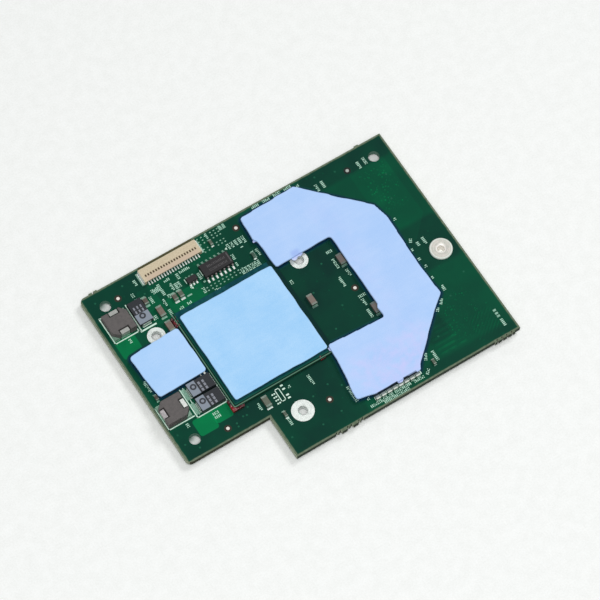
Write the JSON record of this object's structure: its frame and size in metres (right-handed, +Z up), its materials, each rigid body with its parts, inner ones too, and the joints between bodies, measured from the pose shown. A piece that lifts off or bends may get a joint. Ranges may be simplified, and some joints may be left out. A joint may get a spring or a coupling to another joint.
{
  "type": "graphics card module",
  "caption": "Notched plug-in circuit board for a laptop's graphics, with chip, memory, thermal pads, power parts, display connector and underside headers.",
  "frame": {"origin": "under the middle of the board, on the surface that the module stands on", "axes": "+X along the board's long side towards the pressed nut, +Y towards the edge with the display connector, +Z up from the board's upper face"},
  "size_m": [0.0936, 0.0678, 0.0056],
  "materials": {
    "solder_mask": "satin green mask over laminate",
    "tinned_copper": "dull solder",
    "plated_steel": "satin",
    "chip_carrier": "satin",
    "black_moulding": "fine grain",
    "banded_moulding": "fine grain with a grey band",
    "red_adhesive": "glossy",
    "blue_pad": "matt",
    "violet_pad": "matt",
    "choke_composite": "matt",
    "tan_ceramic": "matt",
    "beige_plastic": "matt",
    "black_plastic": "matt",
    "gold_plating": "satin"
  },
  "bodies": {
    "root": {"circuit_board": "solder_mask", "screw_hole_lands": "tinned_copper", "press_nut": "plated_steel", "gpu_substrate": "chip_carrier", "gpu_solder_balls": "tinned_copper", "gpu_mould_cap": "black_moulding", "gpu_corner_glue": "red_adhesive", "gpu_thermal_pad": "blue_pad", "memory_chips": "black_moulding", "memory_solder_balls": "tinned_copper", "memory_thermal_pad": "violet_pad", "power_transistors": "black_moulding", "power_transistor_leads": "tinned_copper", "power_thermal_pad": "blue_pad", "logic_chip": "black_moulding", "logic_chip_leads": "tinned_copper", "gate_chip": "black_moulding", "gate_chip_leads": "tinned_copper", "choke_cores": "choke_composite", "choke_terminals": "tinned_copper", "bulk_capacitors": "banded_moulding", "bulk_capacitor_terminals": "tinned_copper", "large_ceramic_capacitors": "tan_ceramic", "large_ceramic_ends": "tinned_copper", "small_ceramic_capacitors": "tan_ceramic", "small_ceramic_ends": "tinned_copper", "display_connector_housing": "beige_plastic", "display_connector_contacts": "tinned_copper", "display_connector_nails": "tinned_copper", "signal_header_housing": "black_plastic", "signal_header_contacts": "gold_plating", "power_header_housing": "black_plastic", "power_header_contacts": "gold_plating", "underside_capacitors": "tan_ceramic", "underside_capacitor_ends": "tinned_copper"}
  },
  "joints": []
}
